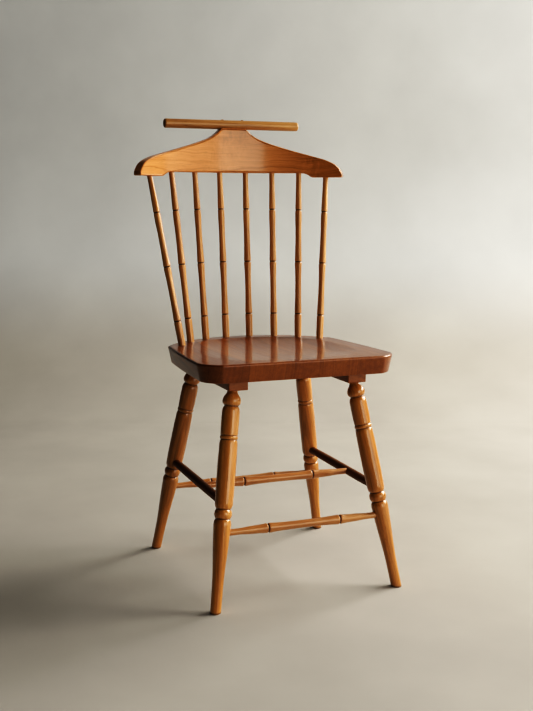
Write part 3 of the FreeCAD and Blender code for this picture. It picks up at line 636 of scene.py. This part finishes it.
def bamboo_rail(half, end_r):
    """Stations of a rail with two grooved rings, about its middle."""
    ring, node, mid = CROSS_RING_X, CROSS_NODE_R, CROSS_MID_R
    return mirrored([
        (half, end_r), (half - 22, end_r), (half / 2 + ring / 2 - 4, (end_r + mid) / 2 + 0.6),
        (ring + 14, mid + 0.7), (ring + 3.2, node - 0.1), (ring + 1.7, node - 0.5),
        (ring + 0.5, CROSS_GROOVE_R), (ring - 0.5, CROSS_GROOVE_R), (ring - 1.7, node - 0.3),
        (ring - 3.2, node), (0.72 * ring, mid + 0.8), (0.45 * ring, mid + 0.2), (0.15 * ring, mid),
    ])


def swelled_rail(half):
    """Stations of a plain rail that is a little thicker at its middle."""
    swell = SIDE_MID_R - SIDE_END_R
    stations = [(half, SIDE_END_R), (half - 26, SIDE_END_R)]
    for share, k in ((0.33, 0.45), (0.22, 0.78), (0.08, 1.0)):
        stations.append((share * 2 * half, SIDE_END_R + k * swell))
    return mirrored(stations)


def rail_between(name, a, b, stations, seed, material=stretcher_wood, tint=0.0):
    middle = (a + b) / 2
    turned(name, stations, middle, b, material, seed, segments=48, tint=tint)


side_middle = []
for number, (side, sign) in enumerate(SIDES):
    a, b = leg_at("front", sign, SIDE_Z["front"]), leg_at("back", sign, SIDE_Z["back"])
    stations = swelled_rail(np.linalg.norm(b - a) / 2 - SIDE_SHORT)
    # The side stretchers take the painted-shade wood, darkened further by their tint.
    rail_between("side_stretcher_" + side, a, b, stations, 21 + number, shaded_side_wood, tint=-0.15)
    side_middle.append((a + b) / 2)
for number, (name, row) in enumerate((("front_stretcher", "front"), ("rear_stretcher", "back"))):
    a, b = leg_at(row, -1, CROSS_Z), leg_at(row, 1, CROSS_Z)
    stations = bamboo_rail(np.linalg.norm(b - a) / 2 - CROSS_SHORT, CROSS_END_R)
    rail_between(name, a, b, stations, 31 + number, tint=-0.02)
a, b = (np.array([middle[0], MEDIAL_Y, MEDIAL_Z]) for middle in side_middle)
stations = bamboo_rail(np.linalg.norm(b - a) / 2 - MEDIAL_SHORT, MEDIAL_END_R)
rail_between("medial_stretcher", a, b, stations, 35, tint=-0.12)


# ---------------------------------------------------------------- spindles
def on_arc(layout, place, height):
    centre, radius, step = layout
    turn = math.radians(place * step)
    return np.array([radius * math.sin(turn), centre + radius * math.cos(turn), height])


def spindle_stations(length):
    rows = [(-4.0, SPINDLE_FOOT_R, 0), (2.0, SPINDLE_FOOT_R, 0)]
    for index, (spot, node, groove) in enumerate(SPINDLE_RINGS):
        rows += [(spot - 3.2, node, 0), (spot - 1.3, node - 0.3, 0), (spot, groove, 0),
                 (spot + 1.3, node - 0.4, 0), (spot + 3.2, node - 0.1, 0)]
        if index < 2:
            reach = SPINDLE_RINGS[index + 1][0] - spot
            swell = node - SPINDLE_WAIST_R
            rows += [(spot + k * reach, SPINDLE_WAIST_R + w * swell, 0) for k, w in SPINDLE_WAIST]
    rows += [(length - 6, SPINDLE_TIP_R, 0), (length + 3, SPINDLE_TIP_R, 0)]
    return rows


SPINDLE_TINT = (0.0, 0.06, 0.05, 0.13, 0.05, 0.13, 0.04, 0.16)
for index, tint in enumerate(SPINDLE_TINT):
    place = index - (len(SPINDLE_TINT) - 1) / 2
    low = on_arc(SPINDLE_SEAT, place, SEAT_Z)
    outer = index in (0, len(SPINDLE_TINT) - 1)
    high = on_arc(SPINDLE_CREST, place, CREST_LOW if outer else CREST_MID)
    stations = spindle_stations(np.linalg.norm(high - low))
    turned("spindle_%d" % (index + 1), stations, low, high, spindle_wood, 41 + index,
           segments=48, tint=tint)


# ---------------------------------------------------------------- seat
def seat_outline(count):
    """Closed plan of the seat's top face, softened a little at its corners, evenly spaced."""
    mirrored = (-SEAT_BACK[0], SEAT_BACK[1])
    back = arc_between(SEAT_BACK, mirrored, BACK_R, 401)
    half = np.vstack([
        [[0.0, SEAT_FRONT[1]]],
        arc_between(SEAT_FRONT, SEAT_CLIP, CLIP_R, 60)[:-1],
        arc_between(SEAT_CLIP, SEAT_BACK, SIDE_R, 120)[:-1],
        back[:201],
    ])
    loop = np.vstack([half, half[::-1][1:] * [-1, 1]])
    loop = even(loop, count * 6 + 1)[:-1]
    reach = 3 * count
    wrapped = np.vstack([loop[-reach:], loop, loop[:reach]])
    spacing = np.linalg.norm(loop[1] - loop[0])
    return blur(wrapped, 1.8 / spacing)[reach:-reach][::6]


def hollow_depth(x, y):
    station = np.array(HOLLOW[::-1], float)
    y = np.clip(y, station[0, 0], station[-1, 0])
    deep = natural(station[:, 0], station[:, 1], y)
    radius = natural(station[:, 0], station[:, 2], y)
    return deep - (radius - np.sqrt(radius ** 2 - x ** 2))


def loop_normals(loop):
    ahead, behind = np.roll(loop, -1, axis=0), np.roll(loop, 1, axis=0)
    tangent = ahead - behind
    tangent /= np.linalg.norm(tangent, axis=1, keepdims=True)
    return np.column_stack([tangent[:, 1], -tangent[:, 0]])


def build_seat():
    count = SEAT_POINTS
    edge = seat_outline(count)
    out = loop_normals(edge)
    tan = math.tan(SEAT_TAPER)
    centre = np.array(SEAT_CENTRE)
    rings, levels, creases = [], [], []

    def add(inset, z, crease):
        rings.append(edge - out * inset)
        levels.append(np.full(count, float(z)))
        creases.append(np.full(count, float(crease)))

    low = -SEAT_THICK
    for inset, z, crease in ((60.0, low, 0), (8.0, low, 0), (2.0, low, 0.3)):
        add(inset + tan * SEAT_THICK, z, crease)
    for k in range(5):
        angle = math.radians(90 * k / 4)
        fall = 1 - math.sin(angle), 1 - math.cos(angle)
        add(tan * SEAT_THICK + SEAT_LOW_EASE * fall[0], low + SEAT_LOW_EASE * fall[1], 0.7)
    for share in (0.90, 0.72, 0.55, 0.38, 0.22):
        add(tan * SEAT_THICK * share, low * share, 0.0)
    bend = SEAT_EASE * (1 + math.sin(SEAT_TAPER)) / math.cos(SEAT_TAPER)
    for k in range(10):
        angle = -SEAT_TAPER + (math.pi / 2 + SEAT_TAPER) * k / 9
        add(bend - SEAT_EASE * math.cos(angle), -SEAT_EASE * (1 - math.sin(angle)), 0.75)
    top = rings[-1]
    ray = top - centre
    share = np.linspace(1, 0, 1201)
    rim = np.empty(count)
    for i in range(count):
        spots = centre + np.outer(share, ray[i])
        deep = hollow_depth(spots[:, 0], spots[:, 1])
        inside = np.argmax(deep > 0)
        rim[i] = share[max(inside, 1)]
    rim = np.concatenate([rim[-12:], rim, rim[:12]])
    rim = blur(rim, 2.0)[12:-12]

    def top_ring(portion, crease):
        spots = centre + ray * portion[:, None]
        deep = hollow_depth(spots[:, 0], spots[:, 1])
        rings.append(spots)
        levels.append(-(deep + np.sqrt(deep ** 2 + 0.03)) / 2)
        creases.append(np.full(count, crease))

    for k in np.linspace(0, 1, 13)[1:-1]:
        top_ring(1 + (rim - 1) * (k ** 0.8), 0.0)
    for offset in (0.012, 0.005, 0.0, -0.005, -0.012):
        top_ring(np.clip(rim + offset, 0, 0.999), 0.35)
    for k in np.linspace(0, 1, 34)[1:-1]:
        top_ring((rim - 0.012) * (1 - k) ** 0.9, 0.0)

    count_rings = len(rings)
    plan = np.vstack(rings)
    verts = np.column_stack([plan, np.concatenate(levels) + SEAT_Z])
    low_mid = [0, centre[1], SEAT_Z + low]
    deep_mid = float(hollow_depth(np.array([centre[0]]), np.array([centre[1]]))[0])
    verts = np.vstack([verts, [low_mid, [0, centre[1], SEAT_Z - deep_mid]]])
    faces = ring_faces(count_rings, count)
    faces += cap_faces(0, count, len(verts) - 2, True)
    faces += cap_faces((count_rings - 1) * count, count, len(verts) - 1, False)
    crease = np.append(np.concatenate(creases), [0, 0])

    grain = np.column_stack([verts[:, 0] - STAVE_START + SEAT_PITH, verts[:, 2] - SEAT_Z, verts[:, 1]])
    return verts, faces, grain, crease


verts, faces, grain, crease = build_seat()
make_piece("seat", verts, faces, figure(grain, 61, pith=(0, 0), lean=0.6), crease, 0.0,
           seat_wood, ["seat"])


# ---------------------------------------------------------------- crest rail
def crest_loop(top_count, end_count):
    """Closed outline (along the rail, height): bottom, right end, top and left end."""
    shoulder = spline(SHOULDER, 400)
    shoulder = shoulder[shoulder[:, 0] < CREST_HALF]
    end_z = shoulder[-1, 1]
    shoulder = np.vstack([shoulder, [CREST_HALF, end_z]])
    inner, lift = CREST_HALF - CREST_CORNER, CREST_LOW + CREST_CORNER
    corner = arc_between((inner, CREST_LOW), (CREST_HALF, lift), CREST_CORNER, 9)
    under = spline(UNDERSIDE, 80)
    half_low = np.vstack([[0.0, CREST_MID], under, [inner, CREST_LOW]])
    low = np.vstack([half_low[::-1] * [-1, 1], half_low[1:]])
    half_top = np.vstack([shoulder[::-1], [0.0, SHOULDER[0][1]]])
    top = np.vstack([half_top, half_top[::-1][1:] * [-1, 1]])
    end = np.vstack([corner, [CREST_HALF, end_z]])
    low, top, end = even(low, top_count), even(top, top_count), even(end, end_count)
    low = blur(low, 1.2)
    top = blur(top, 1.0)
    other = end[::-1] * [-1, 1]
    return low, end, top, other


def coons(low, end, top, other):
    """Grid of points that fills four boundary curves: low and top run left to right."""
    n, m = len(low), len(end)
    u, v = np.linspace(0, 1, n)[None, :, None], np.linspace(0, 1, m)[:, None, None]
    left, right = other[:, None, :], end[:, None, :]
    ruled = (1 - v) * low[None] + v * top[None] + (1 - u) * left + u * right
    corner = ((1 - u) * (1 - v) * low[0] + u * (1 - v) * low[-1] + (1 - u) * v * top[0] + u * v * top[-1])
    return ruled - corner


def build_crest():
    n, m = CREST_GRID
    low, end, top, other = crest_loop(n, m)
    loop = np.vstack([low, end[1:-1], top, other[1:-1]])
    out = loop_normals(loop)
    out = np.vstack([out[-4:], out, out[:4]])
    out = blur(out, 0.8)[4:-4]
    out /= np.linalg.norm(out, axis=1, keepdims=True)
    rings, depth, creases = [], [], []
    half = CREST_THICK / 2

    def add(inset, level, crease):
        rings.append(loop - out * inset)
        depth.append(np.full(len(loop), level))
        creases.append(np.full(len(loop), crease))

    arc = [math.radians(90 * k / 6) for k in range(7)]
    for angle in arc:
        add(CREST_EASE * (1 - math.sin(angle)), -half + CREST_EASE * (1 - math.cos(angle)), 0.75)
    for share in (0.33, 0.66):
        add(0.0, (-half + CREST_EASE) * (1 - 2 * share), 0.0)
    for angle in reversed(arc):
        add(CREST_EASE * (1 - math.sin(angle)), half - CREST_EASE * (1 - math.cos(angle)), 0.75)
    size = len(loop)
    flat = np.vstack(rings)
    along, height, deep = flat[:, 0], flat[:, 1], np.concatenate(depth)
    crease = np.concatenate(creases)
    faces = ring_faces(len(rings), size)

    for ring_start, level, flip in ((0, -half, False), ((len(rings) - 1) * size, half, True)):
        inner = flat[ring_start: ring_start + size]
        g_low, g_end = inner[:n], inner[n - 1: n + m - 1]
        g_top = inner[n + m - 2: 2 * n + m - 2][::-1]
        g_other = np.vstack([inner[2 * n + m - 3], inner[2 * n + m - 2:], inner[0]])[::-1]
        grid = coons(g_low, g_end, g_top, g_other)
        index = np.empty((m, n), int)
        index[0] = ring_start + np.arange(n)
        index[:, -1] = ring_start + np.arange(n - 1, n + m - 1)
        index[-1] = (ring_start + np.arange(n + m - 2, 2 * n + m - 2))[::-1]
        index[1:-1, 0] = (ring_start + np.arange(2 * n + m - 2, 2 * n + 2 * m - 4))[::-1]
        first = len(along)
        inside = grid[1:-1, 1:-1].reshape(-1, 2)
        index[1:-1, 1:-1] = first + np.arange(len(inside)).reshape(m - 2, n - 2)
        along = np.append(along, inside[:, 0])
        height = np.append(height, inside[:, 1])
        deep = np.append(deep, np.full(len(inside), level))
        crease = np.append(crease, np.zeros(len(inside)))
        for i in range(m - 1):
            for j in range(n - 1):
                quad = (index[i, j], index[i, j + 1], index[i + 1, j + 1], index[i + 1, j])
                faces.append(tuple(int(k) for k in (reversed(quad) if flip else quad)))
    turn = along / CREST_R
    radius = CREST_R + deep
    verts = np.column_stack([radius * np.sin(turn), CREST_Y + radius * np.cos(turn), height])
    grain = np.column_stack([deep, height - CREST_GRAIN_Z, along])
    return verts, faces, grain, crease


verts, faces, grain, crease = build_crest()
along, up = grain[:, 2], grain[:, 1]
heart = np.exp(-((along - HEART_ALONG[0]) / HEART_ALONG[1]) ** 2 - ((up - HEART_UP[0]) / HEART_UP[1]) ** 2)
end_grain = np.clip(np.abs(along) - CREST_HALF + END_REACH, 0, 1)
# Painted shade darkens the rail towards its right end, and painted light brightens it towards its left end.
painted_side_light = np.where(along > 0, PAINTED_SHADE_RIGHT, PAINTED_LIGHT_LEFT) * along
tint = CREST_TINT - HEART_DARK * heart - painted_side_light - END_DARK * end_grain
make_piece("crest_rail", verts, faces, figure(grain, 73, pith=(42, 52), lean=3.0), crease, tint,
           crest_wood, ["crest_rail"])

# ---------------------------------------------------------------- trouser bar and pegs
half = BAR_LENGTH / 2
bar = [(-half, BAR_R - BAR_EASE, BAR_EASE), (BAR_EASE - half, BAR_R, 0), (half - BAR_EASE, BAR_R, BAR_EASE),
       (half, BAR_R - BAR_EASE, 0)]
turned("trouser_bar", bar, (0, BAR_Y, BAR_Z), (100, BAR_Y, BAR_Z), bar_wood, 82, segments=64,
       ends=-0.9)


def build_pegs():
    segments, verts, faces, local, crease = 32, [], [], [], []
    angle = np.arange(segments) / segments * math.tau
    top = BAR_Z + BAR_R + PEG_PROUD
    foot = PEG_ROWS[0][0]
    for sign in (-1, 1):
        first = len(verts)
        for z, inset in PEG_ROWS:
            r = PEG_R - inset
            for a in angle:
                verts.append((sign * PEG_X + r * math.cos(a), BAR_Y + r * math.sin(a), top + z))
                local.append((r * math.cos(a) + sign * PEG_GRAIN_X, r * math.sin(a), z))
                crease.append(0.5 if z > foot else -0.3)
        verts += [(sign * PEG_X, BAR_Y, top + foot), (sign * PEG_X, BAR_Y, top)]
        local += [(sign * PEG_GRAIN_X, 0, foot), (sign * PEG_GRAIN_X, 0, 0)]
        crease += [0, 0.5]
        faces += ring_faces(len(PEG_ROWS), segments, first)
        faces += cap_faces(first, segments, len(verts) - 2, True)
        faces += cap_faces(first + (len(PEG_ROWS) - 1) * segments, segments, len(verts) - 1, False)
    return np.array(verts), faces, np.array(local), np.array(crease)


verts, faces, local, crease = build_pegs()
make_piece("bar_pegs", verts, faces, figure(local, 84), crease, -0.18,
           bar_wood, ["bar_pegs"])

# ---------------------------------------------------------------- CAD nodes that stay
kept = (("cleat_left", cleat_wood), ("cleat_right", cleat_wood), ("cleat_screws", screw_steel))
for node, material in kept:
    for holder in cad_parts[node].material_slots:
        holder.material = material


# ---------------------------------------------------------------- studio
SHEET_TURN = math.radians(-21.2)
SHEET_START, SHEET_RADIUS, SHEET_SINK, SHEET_TOP = 1.3, 1.0, 0.003, 5.0
SHEET_SIDES, SHEET_GLOW, FLOOR_HALF = (-1.4, 2.2), 0.08, 14.0
TONE_CURVE = ((0.04, 0.011), (0.09, 0.038), (0.16, 0.105), (0.26, 0.235), (0.42, 0.45), (0.65, 0.72))
# Soft boxes: azimuth, distance, height, width, tallness, radiance and the point each one is aimed at.
LIGHTS = {
    "window": (16.5, 3.2, 1.07, 1.54, 2.05, 3.2, (0, 0, 1.0)),
    "window_side": (48, 3.2, 1.07, 2.08, 2.05, 1.5, (0, 0, 1.0)),
    "key": (96, 3.2, 2.40, 3.6, 2.3, 11.0, (0, 0, 0.5)),
}
LIGHT_COLOUR, ROOM_COLOUR, ROOM_GLOW = (1.0, 0.98, 0.95), (0.85, 0.86, 0.86, 1), 0.03
# Heights between which the floor paint turns into the wall paint.
PAINT_CHANGE = (0.12, 0.55)
FLOOR_PAINT = ((0.42, 0.39, 0.34), (0.48, 0.45, 0.39))
WALL_PAINT = ((0.49, 0.49, 0.465), (0.55, 0.55, 0.52))


def stage_material(name, glow):
    """Matt paint: floor colour at the bottom, wall colour above, and glow is the wall's own light."""
    tree = Tree(name)
    place = tree.add("ShaderNodeTexCoord").outputs["Object"]
    cloud = tree.noise(place, 3.0, 4.0)
    floor, wall = (tree.ramp(cloud, [(0.3, low), (0.7, high)]) for low, high in (FLOOR_PAINT, WALL_PAINT))
    height = tree.remap(tree.split(place, 2), *PAINT_CHANGE)
    tree.join(tree.shader.inputs["Base Color"], tree.blend(height, floor, wall))
    tree.shader.inputs["Roughness"].default_value = 0.9
    tree.shader.inputs["Emission Color"].default_value = (1.0, 1.0, 0.96, 1)
    tree.join(tree.shader.inputs["Emission Strength"], tree.maths("MULTIPLY", height, glow))
    return tree.material


def build_stage():
    """A wide plain floor, and a pale sheet that curves up from it behind the chair."""
    rise = [math.radians(a) for a in range(0, 91, 6)]
    low = SHEET_RADIUS - SHEET_SINK
    sheet = [(SHEET_START + SHEET_RADIUS * math.sin(a), low - SHEET_RADIUS * math.cos(a)) for a in rise]
    sheet.append((SHEET_START + SHEET_RADIUS, SHEET_TOP))
    across = np.array([math.cos(SHEET_TURN), math.sin(SHEET_TURN)])
    away = np.array([-math.sin(SHEET_TURN), math.cos(SHEET_TURN)])
    for name, rows, sides, glow in (
        ("floor", [(-FLOOR_HALF, 0.0), (FLOOR_HALF, 0.0)], (-FLOOR_HALF, FLOOR_HALF), 0.0),
        ("backdrop", sheet, SHEET_SIDES, SHEET_GLOW),
    ):
        verts = []
        for y, z in rows:
            for x in sides:
                spot = across * x + away * y
                verts.append((spot[0], spot[1], z))
        faces = [(2 * i, 2 * i + 1, 2 * i + 3, 2 * i + 2) for i in range(len(rows) - 1)]
        mesh = bpy.data.meshes.new(name)
        mesh.from_pydata(verts, [], faces)
        mesh.shade_smooth()
        mesh.materials.append(stage_material(name, glow))
        piece = bpy.data.objects.new(name, mesh)
        bpy.context.scene.collection.objects.link(piece)
        piece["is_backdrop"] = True


def area_light(name, azimuth, distance, height, width, tall, radiance, aim):
    """Soft box; azimuth 0 is straight in front of the chair and 90 is on its right."""
    light = bpy.data.lights.new(name, "AREA")
    light.shape = "RECTANGLE"
    light.size, light.size_y = width, tall
    light.energy = radiance * math.pi * width * tall
    light.color = LIGHT_COLOUR
    holder = bpy.data.objects.new(name, light)
    turn = math.radians(azimuth)
    spot = np.array([math.sin(turn) * distance, -math.cos(turn) * distance, height])
    u, v, d = axes_for(spot - np.asarray(aim, float))
    holder.location = spot
    holder.rotation_mode = "QUATERNION"
    holder.rotation_quaternion = Matrix(np.column_stack([u, v, d]).tolist()).to_quaternion()
    bpy.context.scene.collection.objects.link(holder)


def build_world():
    """Dim room, so that the lights do the modelling."""
    world = bpy.data.worlds.new("studio")
    world.use_nodes = True
    background = world.node_tree.nodes["Background"]
    background.inputs["Color"].default_value = ROOM_COLOUR
    background.inputs["Strength"].default_value = ROOM_GLOW
    bpy.context.scene.world = world


def set_tone():
    """Standard view with an S-curve: shaded wood goes deep and lit wood stays bright."""
    view = bpy.context.scene.view_settings
    view.view_transform = "Standard"
    view.use_curve_mapping = True
    curve = view.curve_mapping.curves[3]
    for value, shown in TONE_CURVE:
        curve.points.new(value, shown)
    view.curve_mapping.update()


build_stage()
for name, numbers in LIGHTS.items():
    area_light(name, *numbers)
build_world()
set_tone()

LENS, LENS_SHIFT = 51.64, (0.0049, 0.0255)
CAMERA_AT, CAMERA_TURN = (-0.738, -1.872, 0.732), (80.53, 0.0, -21.21)
camera = bpy.data.cameras.new("camera")
camera.lens = LENS
camera.shift_x, camera.shift_y = LENS_SHIFT
camera_holder = bpy.data.objects.new("camera", camera)
camera_holder.location = CAMERA_AT
camera_holder.rotation_euler = [math.radians(angle) for angle in CAMERA_TURN]
bpy.context.scene.collection.objects.link(camera_holder)
bpy.context.scene.camera = camera_holder

low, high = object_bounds()
